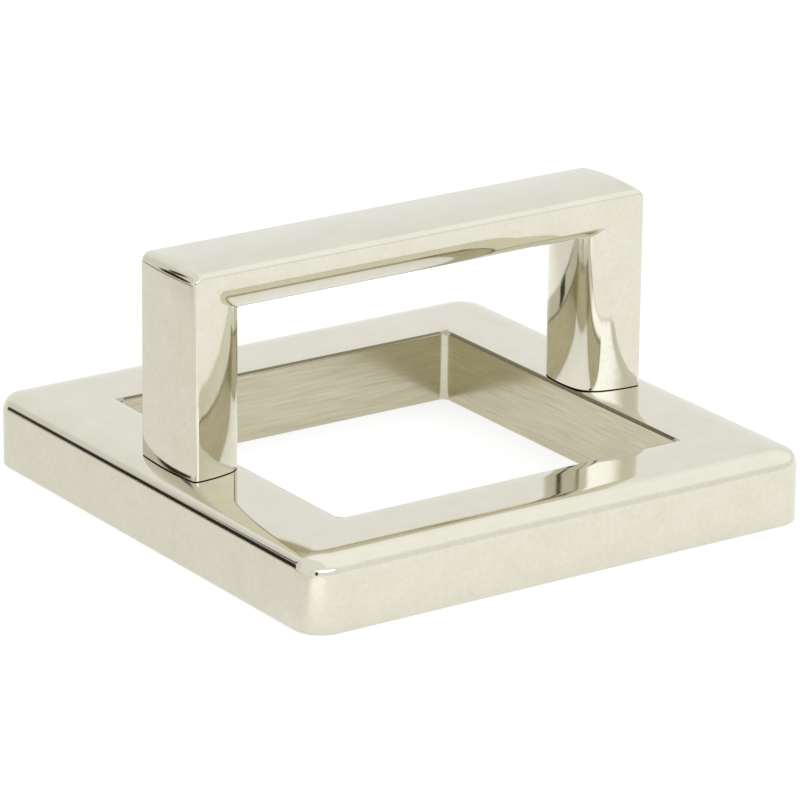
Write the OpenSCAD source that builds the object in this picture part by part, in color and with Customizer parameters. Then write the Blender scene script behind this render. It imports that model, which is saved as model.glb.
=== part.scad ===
// Bar pull on a square frame base: two polished castings.
// The frame lies flat on the drawer front. The handle is a U of rounded section, standing on two rails.
// Origin: middle of the underside. +X runs along the bar, +Z points away from the drawer front.

/* [Base] */
// Side of the square base
base_side = 63.5; // [54:0.5:90]
// Thickness of the base at the flat of its rails
base_height = 8.15; // [5:0.05:14]
// Width of each rail, from the outer side to the window
rail_width = 10.1; // [10:0.1:14]
// Radius of the outer corners, seen from above
corner_radius = 3.4; // [2.6:0.1:5]
// How far the polished top falls away towards the outer sides
outer_roll = 0.7; // [0.3:0.05:1]
// Radius of the outer top edge
outer_edge = 1.2; // [0.6:0.1:1.8]
// Radius of the outer bottom edge
bottom_edge = 0.3; // [0.1:0.05:0.8]

/* [Window] */
// Radius of the window corners, seen from above
window_radius = 0.9; // [0.5:0.1:3]
// Width of the stretch of rail that falls away towards the window
window_roll_width = 1.9; // [1:0.1:2.2]
// How far that stretch falls away
window_roll = 0.15; // [0.05:0.05:0.3]
// Radius of the window top edge
window_edge = 0.4; // [0.2:0.05:0.7]

/* [Handle] */
// Height of the top of the bar above the drawer front
projection = 30.95; // [24:0.05:60]
// Depth of the bar and of its posts, from front to back
handle_depth = 10.7; // [9:0.1:14]
// Thickness of the bar, from its top to its underside
bar_thickness = 5.4; // [4.5:0.05:9]
// Thickness of each post, measured along the bar
post_thickness = 7.4; // [6.6:0.1:7.5]
// Distance from the outer side of the base to the outer face of a post
post_inset = 2.55; // [1.5:0.05:2.7]
// Rise of the crowned outer face over its two edges
crown = 0.35; // [0.2:0.05:0.8]
// Radius of the two edges of the outer face
crown_edge = 0.4; // [0.2:0.05:0.6]
// Radius of the bowed front and back sides of the bar
bar_side_radius = 14; // [11:0.5:14]
// Radius of the bowed front and back sides of the posts, which are a little flatter
post_side_radius = 15; // [14.5:0.5:40]
// Radius of the two inner edges, which the fingers feel
grip_radius = 3; // [2:0.1:3.9]
// Radius of the outer bend where the bar turns down into a post
bend_radius = 1.1; // [0.4:0.1:1.6]

/* [Screws] */
// Radius of the clearance holes through the base
clearance_hole_radius = 2.25; // [2.1:0.05:2.6]
// Radius of the tapped holes in the posts
tapped_hole_radius = 1.75; // [1.4:0.05:2]
// Depth of the tapped holes
tapped_hole_depth = 14; // [8:0.5:15]

/* [Hidden] */
$fn = 96;
nickel = [0.87, 0.86, 0.79];
// Overlap by which cutting tools pass through what they cut
past = 1;
window_side = base_side - 2 * rail_width;
handle_length = base_side - 2 * post_inset;
screw_centres = handle_length - post_thickness;
// Depth, below the crown, of the axis about which the outer bend turns
bend_axis = crown + bend_radius;

// Radius of the arc that rises by sagitta over half a chord
function arc_radius(half_chord, sagitta) = (half_chord * half_chord + sagitta * sagitta) / (2 * sagitta);

// How far below an arc's peak the centre of an edge lies that rounds it off at a side, at x = width
function edge_drop(arc, width, edge) = arc - sqrt(pow(arc - edge, 2) - pow(width - edge, 2));

// Rounds a section's edge when cut from it. The edge lies between an arc, peaking at x = 0 and y = top,
// and a side at x = width.
module arc_edge_cut(arc, top, width, edge) {
    arc_centre = top - arc;
    edge_x = width - edge;
    edge_y = top - edge_drop(arc, width, edge);
    // Where the line from the arc's centre through the edge's centre leaves the metal
    ray_x = edge_x * (arc + past) / (edge_y - arc_centre);
    difference() {
        polygon([
            [edge_x, edge_y],
            [width + past, edge_y],
            [width + past, top + past],
            [ray_x, top + past]
        ]);
        translate([edge_x, edge_y]) circle(edge);
    }
}

// Rounds a section's lower corner, square at x = width and y = bottom, when cut from it
module corner_cut(width, bottom, edge) {
    difference() {
        translate([width - edge, bottom - past]) square([edge + past, edge + past]);
        translate([width - edge, bottom + edge]) circle(edge);
    }
}

// Cross-section of a rail's margin: flat at x = 0, rolled down by drop, with a rounded edge at x = width.
// The lower edge at x = width is left sharp unless a radius is given for it.
module margin_section(width, drop, edge, lower_edge = 0) {
    roll = arc_radius(width, drop);
    difference() {
        intersection() {
            square([width, base_height]);
            translate([0, base_height - roll]) circle(roll);
        }
        arc_edge_cut(roll, base_height, width, edge);
        if (lower_edge > 0) corner_cut(width, 0, lower_edge);
    }
}

// Carries a section round a square with round corners, and fills the square's inside from floor to top
module carried_round(side, radius, floor, top) {
    reach = side / 2 - radius;
    translate([-reach, -reach, floor]) cube([2 * reach, 2 * reach, top - floor]);
    for (turn = [0:90:270]) {
        rotate([0, 0, turn]) {
            translate([reach, 0, 0])
                rotate([90, 0, 0])
                    linear_extrude(height = 2 * reach, center = true) children();
            translate([reach, reach, 0]) rotate_extrude(angle = 90) children();
        }
    }
}

module base_plate() {
    carried_round(base_side, corner_radius, 0, base_height)
        margin_section(corner_radius, outer_roll, outer_edge, bottom_edge);
}

// Section of what is cut away for the window, from the centre of a window corner outwards
module window_section() {
    mouth = window_radius + window_roll_width;
    difference() {
        translate([0, -past]) square([mouth, base_height + 2 * past]);
        translate([mouth, 0])
            mirror([1, 0])
                margin_section(window_roll_width, window_roll, window_edge);
    }
}

module window_cut() {
    carried_round(window_side, window_radius, -past, base_height + past) window_section();
}

module screw_places() {
    for (side = [-1, 1]) translate([side * screw_centres / 2, 0, 0]) children();
}

module base() {
    color(nickel)
        difference() {
            base_plate();
            window_cut();
            screw_places()
                translate([0, 0, -past])
                    cylinder(r = clearance_hole_radius, h = base_height + 2 * past);
        }
}

// Section of the handle. The crown's top is at y = 0 and the metal lies below it.
// It is widest at the crown's edges. The sides bow inwards from there, to the rounds of the grip.
module handle_section(thickness, side_radius) {
    half = handle_depth / 2;
    crown_radius = arc_radius(half, crown);
    widest = edge_drop(crown_radius, half, crown_edge);
    difference() {
        intersection() {
            translate([-half, -thickness]) square([handle_depth, thickness]);
            translate([0, -crown_radius]) circle(crown_radius);
            translate([half - side_radius, -widest]) circle(side_radius);
            translate([side_radius - half, -widest]) circle(side_radius);
        }
        for (side = [0, 1]) {
            mirror([side, 0]) {
                arc_edge_cut(crown_radius, 0, half, crown_edge);
                // Turned so that the bowed side is the arc that peaks, and the inner face is the side
                translate([half, -widest])
                    rotate(-90)
                        arc_edge_cut(side_radius, 0, thickness - widest, grip_radius);
            }
        }
    }
}

module bar() {
    translate([0, 0, projection])
        rotate([90, 0, 90])
            linear_extrude(height = handle_length - 2 * bend_axis, center = true)
                handle_section(bar_thickness, bar_side_radius);
}

module post() {
    translate([handle_length / 2, 0, base_height])
        rotate([0, 0, -90])
            linear_extrude(height = projection - bend_axis - base_height)
                handle_section(post_thickness, post_side_radius);
}

// The section's outer face, turned through a quarter circle from the bar's top to the post's side
module outer_bend() {
    translate([handle_length / 2 - bend_axis, 0, projection - bend_axis])
        rotate([90, 0, 0])
            rotate_extrude(angle = 90)
                intersection() {
                    translate([bend_axis, 0])
                        rotate([0, 0, -90])
                            handle_section(bar_thickness, bar_side_radius);
                    translate([0, -handle_depth]) square([2 * bend_axis, 2 * handle_depth]);
                }
}

// The metal inside the corner, where the bar, the post and the bend run into one another
module corner_core() {
    translate([handle_length / 2 - bend_axis, 0, projection - bend_axis])
        cube([bend_axis, handle_depth / 2, bend_axis], center = true);
}

module handle() {
    color(nickel)
        difference() {
            union() {
                bar();
                for (side = [0, 1]) {
                    mirror([side, 0, 0]) {
                        post();
                        outer_bend();
                        corner_core();
                    }
                }
            }
            screw_places()
                translate([0, 0, base_height - past])
                    cylinder(r = tapped_hole_radius, h = tapped_hole_depth + past);
        }
}

base();
handle();
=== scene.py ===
"""Looks of a bar pull on a square frame base: two polished, nickel plated castings in a white studio.

Sizes are in metres and the place of everything is that of the model: the origin is in the middle of the
underside of the base, +X runs along the bar and +Z points away from the drawer front.
"""

import logging
import math
from dataclasses import dataclass, field
from enum import Enum
from typing import Callable, Optional, Union

import bmesh
import bpy
from bmesh.types import BMEdge, BMesh, BMVert
from mathutils import Matrix, Vector

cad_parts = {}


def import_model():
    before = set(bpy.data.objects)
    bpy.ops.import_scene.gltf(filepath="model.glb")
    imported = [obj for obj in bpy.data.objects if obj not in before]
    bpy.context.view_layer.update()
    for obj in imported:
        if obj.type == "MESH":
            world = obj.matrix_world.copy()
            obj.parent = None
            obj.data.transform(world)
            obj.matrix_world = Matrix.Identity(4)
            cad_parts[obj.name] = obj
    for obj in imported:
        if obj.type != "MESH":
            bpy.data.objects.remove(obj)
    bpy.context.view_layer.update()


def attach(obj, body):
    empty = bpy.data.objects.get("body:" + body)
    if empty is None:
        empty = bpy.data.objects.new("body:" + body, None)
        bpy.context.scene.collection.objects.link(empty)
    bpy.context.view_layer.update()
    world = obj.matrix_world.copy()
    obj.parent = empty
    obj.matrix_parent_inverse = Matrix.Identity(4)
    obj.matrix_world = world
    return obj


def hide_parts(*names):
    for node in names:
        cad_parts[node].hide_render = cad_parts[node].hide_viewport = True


LOG = logging.getLogger("bar_pull")
MM = 0.001
QUARTER = math.pi / 2
WELD = 0.001 * MM
DRILL_PAST = 1 * MM
DRILL_STEPS = 64
SHARP_ANGLE = math.radians(32)
WHITE = (1.0, 1.0, 1.0)
WARM_BLACK = (0.03, 0.028, 0.02)
Number = Union[float, "Signal"]


class Node(Enum):
    """The two castings of the model."""

    BASE = "base"
    HANDLE = "handle"


class Ray(Enum):
    """The kinds of ray that the white of the studio is made for."""

    CAMERA = "Is Camera Ray"
    GLOSSY = "Is Glossy Ray"
    TRANSMISSION = "Is Transmission Ray"


def arc_radius(half_chord: float, rise: float) -> float:
    """Works out the radius of a shallow arc.

    Args:
        half_chord: Half the width that the arc spans.
        rise: Height of the arc's middle over its ends.

    Returns:
        The radius of the arc.
    """
    return (half_chord**2 + rise**2) / (2 * rise)


class Pen:
    """Draws the edges of a section into a mesh, stroke by stroke, from one starting point."""

    def __init__(self, bm: BMesh, start: Vector, axis: Vector) -> None:
        """Puts the pen down.

        Args:
            bm: Mesh that takes the section.
            start: First point of the section.
            axis: Normal of the section's plane, about which arcs turn by the right-hand rule.
        """
        self.bm = bm
        self.axis = axis
        self.tip: BMVert = bmesh.ops.create_vert(bm, co=start)["vert"][0]
        self.edges: list[BMEdge] = []

    def line(self, target: Vector) -> "Pen":
        """Draws a straight stroke from the tip.

        Args:
            target: Point to draw to.

        Returns:
            The pen.
        """
        drawn = bmesh.ops.extrude_vert_indiv(self.bm, verts=[self.tip])
        self.tip = drawn["verts"][0]
        self.tip.co = target
        self.edges += drawn["edges"]
        return self

    def arc(self, centre: Vector, angle: float, steps: int) -> "Pen":
        """Draws an arc from the tip.

        Args:
            centre: Centre of the arc.
            angle: Turn of the arc in radians.
            steps: Number of short edges that it is made of.

        Returns:
            The pen.
        """
        before = set(self.bm.edges)
        drawn = bmesh.ops.spin(
            self.bm,
            geom=[self.tip],
            cent=centre,
            axis=self.axis,
            dvec=(0, 0, 0),
            angle=angle,
            steps=steps,
        )
        self.tip = next(g for g in drawn["geom_last"] if isinstance(g, BMVert))
        self.edges += [edge for edge in self.bm.edges if edge not in before]
        return self


def pull_out(bm: BMesh, edges: list[BMEdge]) -> tuple[list[BMVert], list[BMEdge]]:
    """Extrudes edges in place.

    Args:
        bm: Mesh that holds the edges.
        edges: Edges to extrude.

    Returns:
        The new vertices, and the new copies of the edges.
    """
    drawn = bmesh.ops.extrude_edge_only(bm, edges=edges)["geom"]
    verts = [g for g in drawn if isinstance(g, BMVert)]
    fresh = set(verts)
    copies = [g for g in drawn if isinstance(g, BMEdge) and set(g.verts) <= fresh]
    return verts, copies


def carry_round_square(bm: BMesh, section: list[BMEdge], reach: float, steps: int) -> None:
    """Carries a section once round a square with round corners, counter-clockwise seen from above.

    Args:
        bm: Mesh that holds the section.
        section: Edges of the section, in the plane y = -reach, on the +X side of the square.
        reach: Distance from the middle to the centres of the corners, along X and along Y.
        steps: Number of facets in each corner.
    """
    for corner in range(4):
        turn = Matrix.Rotation(corner * QUARTER, 3, "Z")
        verts, section = pull_out(bm, section)
        bmesh.ops.translate(bm, verts=verts, vec=turn @ Vector((0, 2 * reach, 0)))
        drawn = bmesh.ops.spin(
            bm,
            geom=section,
            cent=turn @ Vector((reach, reach, 0)),
            axis=(0, 0, 1),
            dvec=(0, 0, 0),
            angle=QUARTER,
            steps=steps,
        )
        section = [g for g in drawn["geom_last"] if isinstance(g, BMEdge)]
    bmesh.ops.remove_doubles(bm, verts=bm.verts, dist=WELD)


def open_edges(bm: BMesh, test: Callable[[Vector], bool]) -> list[BMEdge]:
    """Finds the open edges of a mesh in one place.

    Args:
        bm: Mesh to search.
        test: Says of a point whether it is in the place.

    Returns:
        The edges with one face whose two ends pass the test.
    """
    return [e for e in bm.edges if e.is_boundary and all(test(v.co) for v in e.verts)]


def finish_mesh(bm: BMesh, name: str) -> bpy.types.Object:
    """Makes an object of a mesh, with its faces turned outwards.

    Args:
        bm: Mesh to take, which is freed.
        name: Name of the object.

    Returns:
        The object, at the origin and linked to the scene.
    """
    bmesh.ops.recalc_face_normals(bm, faces=bm.faces)
    mesh = bpy.data.meshes.new(name)
    bm.to_mesh(mesh)
    bm.free()
    piece = bpy.data.objects.new(name, mesh)
    bpy.context.scene.collection.objects.link(piece)
    return piece


def drill(piece: bpy.types.Object, centres: float, radius: float, bottom: float, top: float) -> None:
    """Drills two straight holes upwards into a piece, one on each side of its middle.

    Args:
        piece: Object to drill.
        centres: Distance between the holes' axes, along X.
        radius: Radius of the holes.
        bottom: Height at which the drill starts.
        top: Height at which it ends.
    """
    bm = bmesh.new()
    for side in (-1, 1):
        bmesh.ops.create_cone(
            bm,
            cap_ends=True,
            segments=DRILL_STEPS,
            radius1=radius,
            radius2=radius,
            depth=top - bottom,
            matrix=Matrix.Translation((side * centres / 2, 0, (bottom + top) / 2)),
        )
    cutter = finish_mesh(bm, piece.name + "_drill")
    cut = piece.modifiers.new("drill", "BOOLEAN")
    cut.operation = "DIFFERENCE"
    cut.solver = "EXACT"
    cut.object = cutter
    drilled = bpy.data.meshes.new_from_object(piece.evaluated_get(bpy.context.evaluated_depsgraph_get()))
    piece.modifiers.clear()
    blank, piece.data = piece.data, drilled
    drilled.name = piece.name
    bpy.data.meshes.remove(blank)
    bpy.data.meshes.remove(cutter.data)


def shade_polished(piece: bpy.types.Object) -> None:
    """Shades the rounds of a piece smooth and keeps its flats flat and its sharp edges sharp.

    Args:
        piece: Object to shade.
    """
    mesh = piece.data
    mesh.polygons.foreach_set("use_smooth", [True] * len(mesh.polygons))
    mesh.set_sharp_from_angle(angle=SHARP_ANGLE)
    even = piece.modifiers.new("flat_faces", "WEIGHTED_NORMAL")
    even.keep_sharp = True


@dataclass
class FrameBase:
    """The flat square frame, with its rolled margins, its window and its two screw holes."""

    side: float = 63.5 * MM
    height: float = 8.15 * MM
    rail_width: float = 10.1 * MM
    corner_radius: float = 3.4 * MM
    outer_roll: float = 0.7 * MM
    outer_edge: float = 1.2 * MM
    buff_radius: float = 2.5 * MM
    buff_turn: float = math.radians(28)
    bottom_edge: float = 0.3 * MM
    window_radius: float = 0.9 * MM
    window_roll_width: float = 1.9 * MM
    window_roll: float = 0.15 * MM
    window_edge: float = 0.4 * MM
    brushed_past: float = 0.28 * MM
    screw_centres: float = 51 * MM
    hole_radius: float = 2.25 * MM
    corner_steps: int = 28
    roll_steps: int = 14
    edge_steps: int = 14
    buff_steps: int = 12
    bottom_steps: int = 5

    @property
    def window_half(self) -> float:
        """Half the side of the window."""
        return self.side / 2 - self.rail_width

    def _margin(
        self, pen: Pen, width: float, drop: float, edge: float, out: int, buff_turn: float = 0.0
    ) -> None:
        """Draws a margin that rolls down from the flat top and turns over a rounded edge.

        Args:
            pen: Pen, at the flat end of the margin.
            width: Width of the margin.
            drop: How far its arc falls over its width.
            edge: Radius of its edge.
            out: 1 where the margin ends at a larger x, -1 where it ends at a smaller one.
            buff_turn: Last part of the edge's turn, which buffing has drawn out over a larger radius.
        """
        roll = arc_radius(width, drop)
        centre = pen.tip.co - Vector((0, 0, roll))
        spare = self.buff_radius - edge
        reach = width - edge - spare * (1 - math.cos(buff_turn))
        roll_angle = math.asin(reach / (roll - edge))
        edge_centre = centre + Vector((out * reach, 0, (roll - edge) * math.cos(roll_angle)))
        pen.arc(centre, out * roll_angle, self.roll_steps)
        pen.arc(edge_centre, out * (QUARTER - buff_turn - roll_angle), self.edge_steps)
        if buff_turn:
            back = Vector((out * math.cos(buff_turn), 0, math.sin(buff_turn)))
            pen.arc(edge_centre - spare * back, out * buff_turn, self.buff_steps)

    def _outer_section(self, bm: BMesh, reach: float) -> list[BMEdge]:
        """Draws the outer side of a rail, from the flat top down to the underside.

        Args:
            bm: Mesh that takes it.
            reach: Distance from the middle to the flat's outer limit.

        Returns:
            The edges of the section.
        """
        half = self.side / 2
        pen = Pen(bm, Vector((reach, -reach, self.height)), Vector((0, 1, 0)))
        self._margin(pen, self.corner_radius, self.outer_roll, self.outer_edge, 1, self.buff_turn)
        pen.line(Vector((half, -reach, self.bottom_edge)))
        pen.arc(Vector((half - self.bottom_edge, -reach, self.bottom_edge)), QUARTER, self.bottom_steps)
        return pen.edges

    def _window_section(self, bm: BMesh, reach: float) -> list[BMEdge]:
        """Draws the window's side of a rail, from the flat top down to the underside.

        Args:
            bm: Mesh that takes it.
            reach: Distance from the middle to the centres of the window's corners.

        Returns:
            The edges of the section.
        """
        flat_x = self.window_half + self.window_roll_width
        pen = Pen(bm, Vector((flat_x, -reach, self.height)), Vector((0, 1, 0)))
        self._margin(pen, self.window_roll_width, self.window_roll, self.window_edge, -1)
        pen.line(Vector((self.window_half, -reach, 0)))
        return pen.edges

    def build(self) -> bpy.types.Object:
        """Builds the frame as one closed mesh.

        Returns:
            The object.
        """
        bm = bmesh.new()
        reach = self.side / 2 - self.corner_radius
        carry_round_square(bm, self._outer_section(bm, reach), reach, self.corner_steps)
        window_reach = self.window_half - self.window_radius
        carry_round_square(bm, self._window_section(bm, window_reach), window_reach, self.corner_steps)
        for level, up in ((self.height, 1), (0, -1)):
            rims = open_edges(bm, lambda point: abs(point.z - level) < WELD)
            bmesh.ops.triangle_fill(bm, use_beauty=True, edges=rims, normal=(0, 0, up))
        piece = finish_mesh(bm, "frame_casting")
        drill(piece, self.screw_centres, self.hole_radius, -DRILL_PAST, self.height + DRILL_PAST)
        shade_polished(piece)
        return piece

    def dress(self, piece: bpy.types.Object, finish: "NickelPlate") -> None:
        """Plates the frame and puts it in the place of the model's base.

        Args:
            piece: The frame.
            finish: Plate that it gets, brushed inside the window, with a line of painted shade just under
                the window's top edge.
        """
        piece.data.materials.clear()
        # Painted shade: a dark line runs along the window's walls just under this level.
        window_edge_level = self.height - self.window_roll
        piece.data.materials.append(finish.material(self.window_half + self.brushed_past, window_edge_level))
        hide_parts(Node.BASE.value)
        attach(piece, "root")


@dataclass
class PullHandle:
    """The U of rounded section: a bar, mitred at both ends into posts that stand on the base."""

    length: float = 58.4 * MM
    projection: float = 30.95 * MM
    foot: float = 8.15 * MM
    depth: float = 10.7 * MM
    bar_thickness: float = 5.4 * MM
    post_thickness: float = 7.4 * MM
    crown: float = 0.35 * MM
    crown_edge: float = 0.6 * MM
    bar_side_radius: float = 10.5 * MM
    post_side_radius: float = 15 * MM
    grip_radius: float = 3 * MM
    inner_bow_radius: float = 14 * MM
    bend_radius: float = 1.1 * MM
    inner_blend: float = 1.2 * MM
    inner_crease: float = 0.2 * MM
    foot_edge: float = 0.12 * MM
    hole_radius: float = 1.75 * MM
    hole_depth: float = 14 * MM
    crown_steps: int = 20
    edge_steps: int = 8
    side_steps: int = 8
    grip_steps: int = 28
    inner_steps: int = 12
    bend_steps: int = 16
    foot_steps: int = 3

    @property
    def bend_axis(self) -> float:
        """Depth, below the crown, of the axis about which the outer bend turns."""
        return self.crown + self.bend_radius

    @property
    def crown_radius(self) -> float:
        """Radius of the crowned outer face."""
        return arc_radius(self.depth / 2, self.crown)

    @property
    def widest(self) -> float:
        """Depth, below the crown, at which the section is widest."""
        reach = self.depth / 2 - self.crown_edge
        return self.crown_radius - math.sqrt((self.crown_radius - self.crown_edge) ** 2 - reach**2)

    def _section(self, bm: BMesh) -> list[BMEdge]:
        """Draws half the section of the bar in the plane x = 0, from the crown down to the underside.

        Args:
            bm: Mesh that takes it.

        Returns:
            The edges of the half section, on the +Y side.
        """
        half, top = self.depth / 2, self.projection
        reach = half - self.crown_edge
        crown_turn = math.asin(reach / (self.crown_radius - self.crown_edge))
        grip_reach = self.bar_side_radius - self.grip_radius
        side_turn = math.asin((self.bar_thickness - self.grip_radius - self.widest) / grip_reach)
        side_y = half - self.bar_side_radius
        grip_y = side_y + grip_reach * math.cos(side_turn)
        bottom = top - self.bar_thickness
        pen = Pen(bm, Vector((0, 0, top)), Vector((1, 0, 0)))
        pen.arc(Vector((0, 0, top - self.crown_radius)), -crown_turn, self.crown_steps)
        pen.arc(Vector((0, reach, top - self.widest)), crown_turn - QUARTER, self.edge_steps)
        pen.arc(Vector((0, side_y, top - self.widest)), -side_turn, self.side_steps)
        pen.arc(Vector((0, grip_y, bottom + self.grip_radius)), side_turn - QUARTER, self.grip_steps)
        for step in range(1, self.inner_steps + 1):
            pen.line(Vector((0, grip_y * (1 - step / self.inner_steps), bottom)))
        return pen.edges

    def _post_grip(self) -> Vector:
        """Finds the centre of the round that joins a post's bowed side to its bowed inner face.

        Returns:
            Its distance from the middle plane, and its depth below the post's outer face.
        """
        side_centre = Vector((self.depth / 2 - self.post_side_radius, self.widest))
        gap = Vector((0, self.post_thickness - self.inner_bow_radius)) - side_centre
        side_reach = self.post_side_radius - self.grip_radius
        inner_reach = self.inner_bow_radius - self.grip_radius
        along = (side_reach**2 - inner_reach**2 + gap.length_squared) / (2 * gap.length)
        aside = math.sqrt(side_reach**2 - along**2)
        ahead = gap.normalized()
        return side_centre + along * ahead + aside * Vector((-ahead.y, ahead.x))

    def _post_depth(self, across: float, depth: float) -> float:
        """Finds how deep the post's surface lies where it meets a point of the bar's.

        Args:
            across: Distance of the point from the middle plane.
            depth: Depth of the point below the top of the bar.

        Returns:
            The depth below the post's outer face.
        """
        if depth < self.bend_axis:
            return depth
        grip = self._post_grip()
        side, bow = self.post_side_radius, self.inner_bow_radius
        side_y = self.depth / 2 - side
        side_lean = (grip.x - side_y) / (side - self.grip_radius)
        inner_lean = grip.x / (bow - self.grip_radius)
        if across >= side_y + side * side_lean:
            return self.widest + math.sqrt(side**2 - (across - side_y) ** 2)
        if across <= bow * inner_lean:
            return self.post_thickness - bow + math.sqrt(bow**2 - across**2)
        return grip.y + math.sqrt(self.grip_radius**2 - (across - grip.x) ** 2)

    def _bend_place(self, across: float, depth: float, turn: float) -> tuple[float, float]:
        """Places a point of the section in the corner between the bar and a post.

        Args:
            across: Distance of the point from the middle plane.
            depth: Depth of the point below the top of the bar.
            turn: 0 where the bar ends, a quarter circle where the post begins.

        Returns:
            The point's x and z. Outside, points go round the bend's axis. Inside, they soften the mitre.
        """
        if depth < self.bend_axis:
            radius = self.bend_axis - depth
            centre_x, centre_z = self.length / 2 - self.bend_axis, self.projection - self.bend_axis
        else:
            share = (depth - self.bar_thickness + self.grip_radius) / self.grip_radius
            radius = self.inner_crease + (self.inner_blend - self.inner_crease) * (1 - max(share, 0)) ** 2
            centre_x = self.length / 2 - self._post_depth(across, depth) - radius
            centre_z = self.projection - depth - radius
        return centre_x + radius * math.sin(turn), centre_z + radius * math.cos(turn)

    def _half_sweep(self, bm: BMesh) -> None:
        """Carries the half section from the bar's middle, round the corner and down the post.

        Args:
            bm: Mesh that takes it.
        """
        section = self._section(bm)
        depth_layer = bm.verts.layers.float.new("depth")
        for vert in bm.verts:
            vert[depth_layer] = self.projection - vert.co.z
        for step in range(self.bend_steps + 1):
            verts, section = pull_out(bm, section)
            for vert in verts:
                turn = step / self.bend_steps * QUARTER
                vert.co.x, vert.co.z = self._bend_place(vert.co.y, vert[depth_layer], turn)
        verts, section = pull_out(bm, section)
        for vert in verts:
            vert.co.z = self.foot

    def build(self) -> bpy.types.Object:
        """Builds the handle as one closed mesh.

        Returns:
            The object.
        """
        bm = bmesh.new()
        self._half_sweep(bm)
        for axis in ("Y", "X"):
            whole = list(bm.verts) + list(bm.edges) + list(bm.faces)
            bmesh.ops.mirror(bm, geom=whole, merge_dist=WELD, axis=axis)
        bmesh.ops.recalc_face_normals(bm, faces=bm.faces)
        for out in (-1, 1):
            rim = open_edges(bm, lambda point: abs(point.z - self.foot) < WELD and point.x * out > 0)
            bmesh.ops.edgeloop_fill(bm, edges=rim)
            bmesh.ops.bevel(
                bm,
                geom=rim,
                offset=self.foot_edge,
                offset_type="OFFSET",
                affect="EDGES",
                segments=self.foot_steps,
                profile=0.5,
                material=-1,
            )
        piece = finish_mesh(bm, "handle_casting")
        centres = self.length - self.post_thickness
        drill(piece, centres, self.hole_radius, self.foot - DRILL_PAST, self.foot + self.hole_depth)
        shade_polished(piece)
        return piece

    def dress(self, piece: bpy.types.Object, finish: "NickelPlate") -> None:
        """Plates the handle and puts it in the place of the model's handle.

        Args:
            piece: The handle.
            finish: Plate that it gets, with a band of painted shade at its feet, where they meet the
                base.
        """
        piece.data.materials.clear()
        piece.data.materials.append(finish.material(seam_shade_level=self.foot))
        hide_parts(Node.HANDLE.value)
        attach(piece, "root")


@dataclass(frozen=True)
class Signal:
    """A shader socket that takes part in Python arithmetic."""

    tree: "ShaderTree"
    socket: Optional[bpy.types.NodeSocket]

    def other_output(self, name: Union[int, str]) -> "Signal":
        """Another output of the node that this comes from."""
        return Signal(self.tree, self.socket.node.outputs[name])

    def _math(self, operation: str, *values: Number) -> "Signal":
        """Adds a Math node of the operation on the values and returns its result."""
        return self.tree.add("ShaderNodeMath", {"operation": operation}, dict(enumerate(values)))

    def __add__(self, other: Number) -> "Signal":
        """This plus the other."""
        return self._math("ADD", self, other)

    __radd__ = __add__

    def __mul__(self, other: Number) -> "Signal":
        """This times the other."""
        return self._math("MULTIPLY", self, other)

    __rmul__ = __mul__

    def __sub__(self, other: Number) -> "Signal":
        """This less the other."""
        return self._math("SUBTRACT", self, other)

    def __rsub__(self, other: Number) -> "Signal":
        """The other less this."""
        return self._math("SUBTRACT", other, self)

    def __truediv__(self, other: Number) -> "Signal":
        """This over the other."""
        return self._math("DIVIDE", self, other)

    def __abs__(self) -> "Signal":
        """This without its sign."""
        return self._math("ABSOLUTE", self)

    def higher_of(self, other: Number) -> "Signal":
        """The higher of this and the other."""
        return self._math("MAXIMUM", self, other)

    def lower_of(self, other: Number) -> "Signal":
        """The lower of this and the other."""
        return self._math("MINIMUM", self, other)

    def below(self, limit: float, blend: float) -> "Signal":
        """Marks where this is under a limit.

        Args:
            limit: Value up to which the mark is full.
            blend: Stretch over the limit in which it fades out.

        Returns:
            1 up to the limit, 0 past the blend, and smooth in between.
        """
        return self.tree.add(
            "ShaderNodeMapRange",
            {"interpolation_type": "SMOOTHSTEP"},
            {"Value": self, "From Min": limit, "From Max": limit + blend, "To Min": 1.0, "To Max": 0.0},
        )


class ShaderTree:
    """The nodes of one material or world."""

    def __init__(self, owner: Union[bpy.types.Material, bpy.types.World]) -> None:
        """Empties the owner's node tree and takes it over.

        Args:
            owner: Material or world that the nodes belong to.
        """
        owner.use_nodes = True
        self.tree = owner.node_tree
        self.tree.nodes.clear()

    def add(self, kind: str, settings: dict, inputs: dict, output: Union[int, str] = 0) -> Signal:
        """Adds a node.

        Args:
            kind: Type of the node.
            settings: Its settings, by name.
            inputs: A value or a Signal for each socket, by name or number.
            output: Name or number of the socket to return.

        Returns:
            The chosen output, or an empty Signal for a node that ends the tree.
        """
        node = self.tree.nodes.new(kind)
        for name, value in settings.items():
            setattr(node, name, value)
        for name, value in inputs.items():
            if isinstance(value, Signal):
                self.tree.links.new(value.socket, node.inputs[name])
            else:
                node.inputs[name].default_value = value
        return Signal(self, node.outputs[output] if node.outputs else None)

    def mix_colours(
        self, share: Number, first: Union[tuple, Signal], second: Union[tuple, Signal]
    ) -> Signal:
        """Mixes two colours.

        Args:
            share: Share of the second colour.
            first: Colour, as three numbers or a Signal.
            second: Colour, as three numbers or a Signal.

        Returns:
            The mixed colour.
        """
        colours = [c if isinstance(c, Signal) else (*c, 1.0) for c in (first, second)]
        inputs = {"Factor": share, 6: colours[0], 7: colours[1]}
        return self.add("ShaderNodeMix", {"data_type": "RGBA"}, inputs, output=2)

    def noise(self, place: Signal, wavelength: float, detail: float, roughness: float = 0.5) -> Signal:
        """Adds smooth noise.

        Args:
            place: Coordinates.
            wavelength: Rough distance between two of its peaks, in the unit of the coordinates.
            detail: Number of finer layers.
            roughness: How much the finer layers count.

        Returns:
            The noise, between 0 and 1.
        """
        inputs = {"Vector": place, "Scale": 1 / wavelength, "Detail": detail, "Roughness": roughness}
        return self.add("ShaderNodeTexNoise", {}, inputs, output="Fac")


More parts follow.
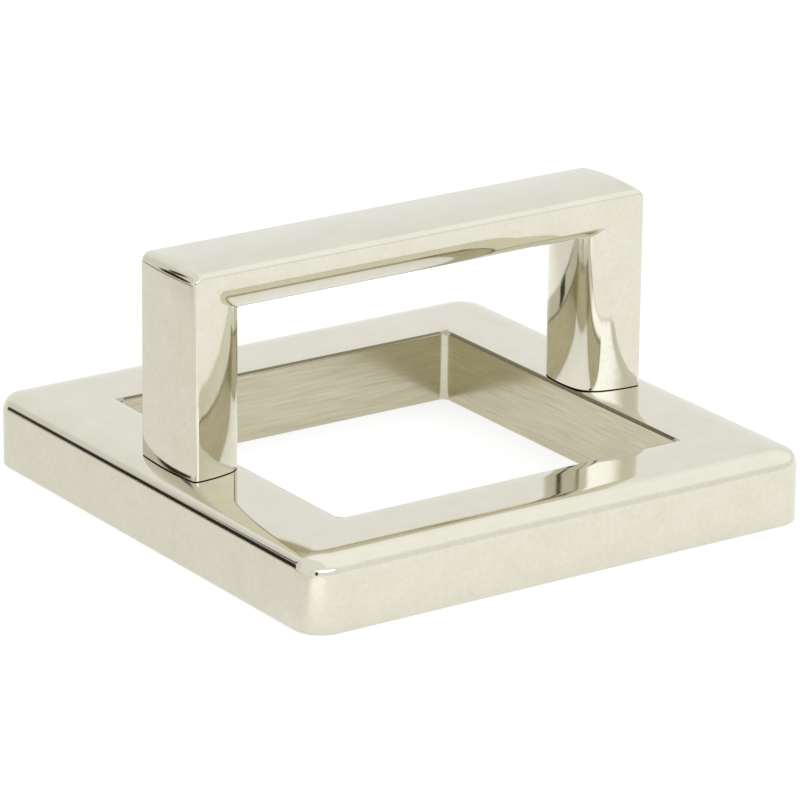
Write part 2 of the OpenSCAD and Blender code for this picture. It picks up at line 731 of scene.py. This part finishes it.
@dataclass(frozen=True)
class NickelPlate:
    """Polished nickel plate: a warm mirror, a little uneven under the polish."""

    name: str = "nickel_plate"
    colour: tuple[float, float, float] = (0.742, 0.722, 0.61)
    cloud_colour: tuple[float, float, float] = (0.658, 0.628, 0.505)
    cloud_size: float = 3.2 * MM
    mottle_size: float = 0.6 * MM
    mottle: float = 1.5
    upright_limit: float = 0.3
    upright_blend: float = 0.3
    roughness: float = 0.045
    roughness_spread: float = 0.05
    haze_size: float = 5.44 * MM
    sway_size: float = 11 * MM
    sway_height: float = 0.010 * MM
    peel_size: float = 1.3 * MM
    peel_height: float = 0.0005 * MM
    corner_width: float = 1.1 * MM
    corner_blend: float = 0.2 * MM
    corner_share: float = 0.5
    wall_blend: float = 0.05 * MM
    brush_colour: tuple[float, float, float] = (0.66, 0.62, 0.465)
    brush_dark: tuple[float, float, float] = (0.43, 0.395, 0.275)
    brush_contrast: float = 1.0
    brush_pitch: float = 0.2 * MM
    brush_length: float = 5 * MM
    # Painted shade: the dark line along the top of the window's walls, just under the edge.
    edge_shade_colour: tuple[float, float, float] = (0.20, 0.18, 0.12)
    edge_shade_depth: float = 0.22 * MM
    edge_shade_blend: float = 0.1 * MM
    brush_roughness: float = 0.15
    brush_roughness_spread: float = 0.08
    brush_height: float = 0.0015 * MM
    # Painted shade: a thin dark band just over the handle's feet, standing for the shadow in the joint
    # with the base.
    seam_shade_colour: tuple[float, float, float] = (0.035, 0.03, 0.02)
    seam_shade_width: float = 0.08 * MM
    seam_shade_blend: float = 0.02 * MM
    seam_shade_roughness: float = 0.4

    def material(
        self, brushed_within: float = 0.0, edge_shade_below: float = 0.0, seam_shade_level: float = 0.0
    ) -> bpy.types.Material:
        """Makes the plate's material.

        Args:
            brushed_within: Half the side of the square inside which the walls are left brushed.
            edge_shade_below: Height of the window's top edge, under which a dark line of painted shade
                runs along the walls.
            seam_shade_level: Height of the piece's foot, just over which the plate is darkened in a thin
                band of painted shade, standing for the shadow in the joint.

        Returns:
            The material.
        """
        ending = "_brushed_window" if brushed_within else "_with_seam_shade"
        owner = bpy.data.materials.new(self.name + ending)
        tree = ShaderTree(owner)
        place = tree.add("ShaderNodeTexCoord", {}, {}, output="Object")
        colour = self._clouds(tree, place)
        roughness = self.roughness + self.roughness_spread * tree.noise(place, self.haze_size, detail=3.0)
        height = self.sway_height * tree.noise(place, self.sway_size, detail=1.0)
        height = height + self.peel_height * tree.noise(place, self.peel_size, detail=1.5)
        level = tree.add("ShaderNodeSeparateXYZ", {}, {"Vector": place}, output="Z")
        if brushed_within:
            inside = self._inside(tree, place, brushed_within)
            lines = self._brush_lines(tree, place)
            grain = (lines - 0.5) * self.brush_contrast + 0.5
            brushed = tree.mix_colours(grain, self.brush_colour, self.brush_dark)
            colour = tree.mix_colours(inside, colour, brushed)
            # Painted shade: the top of the window's walls is darkened in a thin line just under the edge.
            edge_shade = inside * (1 - level.below(edge_shade_below - self.edge_shade_depth, self.edge_shade_blend))
            colour = tree.mix_colours(edge_shade, colour, self.edge_shade_colour)
            rougher = self.brush_roughness - self.roughness + lines * self.brush_roughness_spread
            roughness = roughness + inside * rougher
            height = height + inside * lines * self.brush_height
        if seam_shade_level:
            # Painted shade: the plate just over the foot is darkened as the shadow in the joint would be.
            seam_shade = level.below(seam_shade_level + self.seam_shade_width, self.seam_shade_blend)
            colour = tree.mix_colours(seam_shade, colour, self.seam_shade_colour)
            roughness = roughness + seam_shade * self.seam_shade_roughness
        bump_inputs = {"Height": height, "Strength": 1.0, "Distance": 1.0}
        bump = tree.add("ShaderNodeBump", {}, bump_inputs, output="Normal")
        plate = tree.add(
            "ShaderNodeBsdfPrincipled",
            {},
            {"Base Color": colour, "Metallic": 1.0, "Roughness": roughness, "Normal": bump},
        )
        tree.add("ShaderNodeOutputMaterial", {}, {"Surface": plate})
        return owner

    def _clouds(self, tree: ShaderTree, place: Signal) -> Signal:
        """Colours the plate in soft clouds, and in a finer mottle on its upright faces.

        Args:
            tree: Tree of the material.
            place: Coordinates on the piece.

        Returns:
            The colour.
        """
        facing = tree.add("ShaderNodeNewGeometry", {}, {}, output="Normal")
        lean = tree.add("ShaderNodeSeparateXYZ", {}, {"Vector": facing}, output="Z")
        upright = abs(lean).below(self.upright_limit, self.upright_blend)
        mottle = tree.noise(place, self.mottle_size, detail=5.0, roughness=0.7) - 0.5
        clouds = tree.noise(place, self.cloud_size, detail=4.0, roughness=0.6)
        return tree.mix_colours(clouds + self.mottle * upright * mottle, self.colour, self.cloud_colour)

    def _inside(self, tree: ShaderTree, place: Signal, limit: float) -> Signal:
        """Marks the walls of the window, and less so its corners.

        Args:
            tree: Tree of the material.
            place: Coordinates on the piece.
            limit: Distance from the middle, along X and Y, within which the walls lie.

        Returns:
            1 on the walls, the corners' share in the corners, and 0 everywhere else.
        """
        along_x = tree.add("ShaderNodeSeparateXYZ", {}, {"Vector": place}, output="X")
        reach_x, reach_y = abs(along_x), abs(along_x.other_output("Y"))
        flat_wall = reach_x.lower_of(reach_y).below(limit - self.corner_width, self.corner_blend)
        wall = reach_x.higher_of(reach_y).below(limit, self.wall_blend)
        return wall * (self.corner_share + (1 - self.corner_share) * flat_wall)

    def _brush_lines(self, tree: ShaderTree, place: Signal) -> Signal:
        """Adds fine lines that run level along the walls.

        Args:
            tree: Tree of the material.
            place: Coordinates on the piece.

        Returns:
            The lines, between 0 and 1.
        """
        stretch = (1 / self.brush_length, 1 / self.brush_length, 1 / self.brush_pitch)
        multiply = {"operation": "MULTIPLY"}
        along = tree.add("ShaderNodeVectorMath", multiply, {0: place, 1: stretch}, output="Vector")
        return tree.noise(along, 1.0, detail=3.0)


@dataclass(frozen=True)
class SkyPatch:
    """A soft-edged oval of the studio's surroundings, brighter or darker than the rest."""

    towards: tuple[float, float]
    rise: float
    half_width: float
    half_height: float
    light: tuple[float, float, float]
    edge: float = 0.4
    side_blend: float = 0.05

    def share(self, tree: ShaderTree, direction: Signal) -> Signal:
        """Marks the patch.

        Args:
            tree: Tree of the world.
            direction: Direction that is looked in.

        Returns:
            1 inside the patch, 0 outside it.
        """
        ahead = Vector((*self.towards, 0)).normalized()
        aside = Vector((-ahead.y, ahead.x, 0))
        dot = {"operation": "DOT_PRODUCT"}
        forward = tree.add("ShaderNodeVectorMath", dot, {0: direction, 1: ahead}, output="Value")
        sideways = tree.add("ShaderNodeVectorMath", dot, {0: direction, 1: aside}, output="Value")
        height = tree.add("ShaderNodeVectorMath", dot, {0: direction, 1: (0, 0, 1)}, output="Value")
        across = sideways / self.half_width
        up = (height - math.sin(math.radians(self.rise))) / self.half_height
        oval = (across * across + up * up).below(1 - self.edge, 2 * self.edge)
        return oval * (1 - forward.below(0.0, self.side_blend))


@dataclass(frozen=True)
class FloorPatch:
    """A soft-edged oval of the floor that glows brighter or darker than the rest where the plate mirrors
    it: painted light and shade in the reflections.
    """

    centre: tuple[float, float]
    half_size: tuple[float, float]
    light: tuple[float, float, float]
    edge: float
    turn: float = 0.0

    def share(self, tree: ShaderTree, place: Signal) -> Signal:
        """Marks the patch.

        Args:
            tree: Tree of the floor's material.
            place: Coordinates on the floor.

        Returns:
            1 inside the patch, 0 outside it.
        """
        fit = {
            "Vector": place,
            "Location": (*self.centre, 0),
            "Rotation": (0, 0, math.radians(self.turn)),
            "Scale": (*self.half_size, 1),
        }
        placed = tree.add("ShaderNodeMapping", {"vector_type": "TEXTURE"}, fit)
        distance = tree.add("ShaderNodeVectorMath", {"operation": "LENGTH"}, {0: placed}, output="Value")
        return distance.below(1 - self.edge, 2 * self.edge)


def sky_patches() -> list[SkyPatch]:
    """The light box in front, the light overhead, and the dim and dark parts at the back and in front."""
    return [
        SkyPatch((-0.3, -1.0), 20, half_width=0.55, half_height=0.09, light=(1.85, 1.95, 2.3)),
        SkyPatch((0.95, -0.3), 45, half_width=0.8, half_height=0.45, light=(1.18, 1.2, 1.22)),
        SkyPatch((-0.63, 0.77), 14, half_width=0.45, half_height=0.4, light=(0.84, 0.84, 0.84), edge=0.6),
        SkyPatch((-0.575, 0.74), 20, half_width=0.06, half_height=0.14, light=(0.06, 0.055, 0.04)),
        SkyPatch((-0.656, 0.755), 3, half_width=0.14, half_height=0.15, light=WARM_BLACK, edge=0.35),
        SkyPatch((-0.75, -0.66), 8, half_width=0.09, half_height=0.16, light=(0.05, 0.05, 0.05)),
    ]


def floor_patches() -> list[FloorPatch]:
    """Painted light and shade on the floor in the plate's reflections: the dimmer floor on the left and
    its dark end, and the two parts painted brighter as if lit by the light box.
    """
    return [
        FloorPatch((-0.13, 0.06), (0.125, 0.14), light=(0.93, 0.93, 0.92), edge=0.08),
        FloorPatch((-0.19, 0.15), (0.10, 0.16), light=(0.42, 0.40, 0.35), edge=0.3),
        FloorPatch((0.08, -0.20), (0.20, 0.14), light=(1.14, 1.15, 1.17), edge=0.15),
        FloorPatch((-0.048, -0.052), (0.022, 0.009), light=(1.28, 1.28, 1.26), edge=0.3, turn=55),
    ]


@dataclass
class Studio:
    """A white floor in soft light, and the camera."""

    camera_place: tuple[float, float, float] = (-0.310707, -0.452955, 0.203027)
    camera_turn: tuple[float, float, float] = (70.6641, -0.6127, -34.2819)
    lens: float = 243.587
    sensor_width: float = 36
    near_clip: float = 0.01
    far_clip: float = 20
    floor_radius: float = 0.6
    floor_steps: int = 96
    floor_colour: tuple[float, float, float] = (0.45, 0.45, 0.45)
    floor_glow: float = 0.66
    sky: tuple[float, float, float] = (0.99, 1.0, 1.02)
    sky_patches: list[SkyPatch] = field(default_factory=sky_patches)
    floor_patches: list[FloorPatch] = field(default_factory=floor_patches)

    def place_camera(self) -> None:
        """Puts the camera where the picture is seen from."""
        lens = bpy.data.cameras.new("camera")
        lens.lens = self.lens
        lens.sensor_width = self.sensor_width
        lens.clip_start, lens.clip_end = self.near_clip, self.far_clip
        camera = bpy.data.objects.new("camera", lens)
        camera.location = self.camera_place
        camera.rotation_euler = [math.radians(angle) for angle in self.camera_turn]
        bpy.context.scene.collection.objects.link(camera)
        bpy.context.scene.camera = camera
        bpy.context.scene.view_settings.view_transform = "Standard"

    def lay_floor(self) -> bpy.types.Object:
        """Lays the round white floor, which can't be seen from below.

        Returns:
            The floor.
        """
        bm = bmesh.new()
        bmesh.ops.create_circle(bm, cap_ends=True, segments=self.floor_steps, radius=self.floor_radius)
        floor = finish_mesh(bm, "floor")
        owner = bpy.data.materials.new("white_floor")
        tree = ShaderTree(owner)
        matt = tree.add("ShaderNodeBsdfDiffuse", {}, {"Color": (*self.floor_colour, 1.0)})
        camera = tree.add("ShaderNodeLightPath", {}, {}, output=Ray.CAMERA.value)
        mirrored = camera.other_output(Ray.GLOSSY.value)
        seen = camera.higher_of(mirrored).higher_of(camera.other_output(Ray.TRANSMISSION.value))
        glow = tree.add("ShaderNodeEmission", {}, {"Strength": seen * self.floor_glow})
        lit = tree.add("ShaderNodeAddShader", {}, {0: matt, 1: glow})
        place = tree.add("ShaderNodeTexCoord", {}, {}, output="Object")
        # Painted light and shade: glowing patches of the floor that only mirrored rays see.
        for patch in self.floor_patches:
            glow_inputs = {"Color": (*patch.light, 1.0), "Strength": 1.0}
            painted_patch_glow = tree.add("ShaderNodeEmission", {}, glow_inputs)
            share = mirrored * patch.share(tree, place)
            lit = tree.add("ShaderNodeMixShader", {}, {0: share, 1: lit, 2: painted_patch_glow})
        clear = tree.add("ShaderNodeBsdfTransparent", {}, {})
        below = tree.add("ShaderNodeNewGeometry", {}, {}, output="Backfacing")
        surface = tree.add("ShaderNodeMixShader", {}, {0: below, 1: lit, 2: clear})
        tree.add("ShaderNodeOutputMaterial", {}, {"Surface": surface})
        floor.data.materials.append(owner)
        return floor

    def hang_sky(self) -> None:
        """Surrounds the studio with soft light in patches, which is white where the camera sees it."""
        world = bpy.context.scene.world or bpy.data.worlds.new("studio")
        bpy.context.scene.world = world
        tree = ShaderTree(world)
        direction = tree.add("ShaderNodeTexCoord", {}, {}, output="Generated")
        light: Union[tuple, Signal] = self.sky
        for patch in self.sky_patches:
            light = tree.mix_colours(patch.share(tree, direction), light, patch.light)
        seen = tree.add("ShaderNodeLightPath", {}, {}, output=Ray.CAMERA.value)
        light = tree.mix_colours(seen, light, WHITE)
        surround = tree.add("ShaderNodeBackground", {}, {"Color": light, "Strength": 1.0})
        tree.add("ShaderNodeOutputWorld", {}, {"Surface": surround})

    def build(self) -> None:
        """Lays the floor and hangs the sky."""
        self.lay_floor()
        self.hang_sky()


def report(piece: bpy.types.Object) -> None:
    """Logs the name and the face count of a piece."""
    LOG.info("%s: %d faces", piece.name, len(piece.data.polygons))


def main() -> None:
    """Builds the studio and the two castings."""
    logging.basicConfig(level=logging.INFO, format="%(name)s: %(message)s")
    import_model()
    studio = Studio()
    studio.place_camera()
    studio.build()
    plate = NickelPlate()
    base = FrameBase()
    frame_casting = base.build()
    base.dress(frame_casting, plate)
    report(frame_casting)
    handle = PullHandle()
    handle_casting = handle.build()
    handle.dress(handle_casting, plate)
    report(handle_casting)


if __name__ == "__main__":
    main()
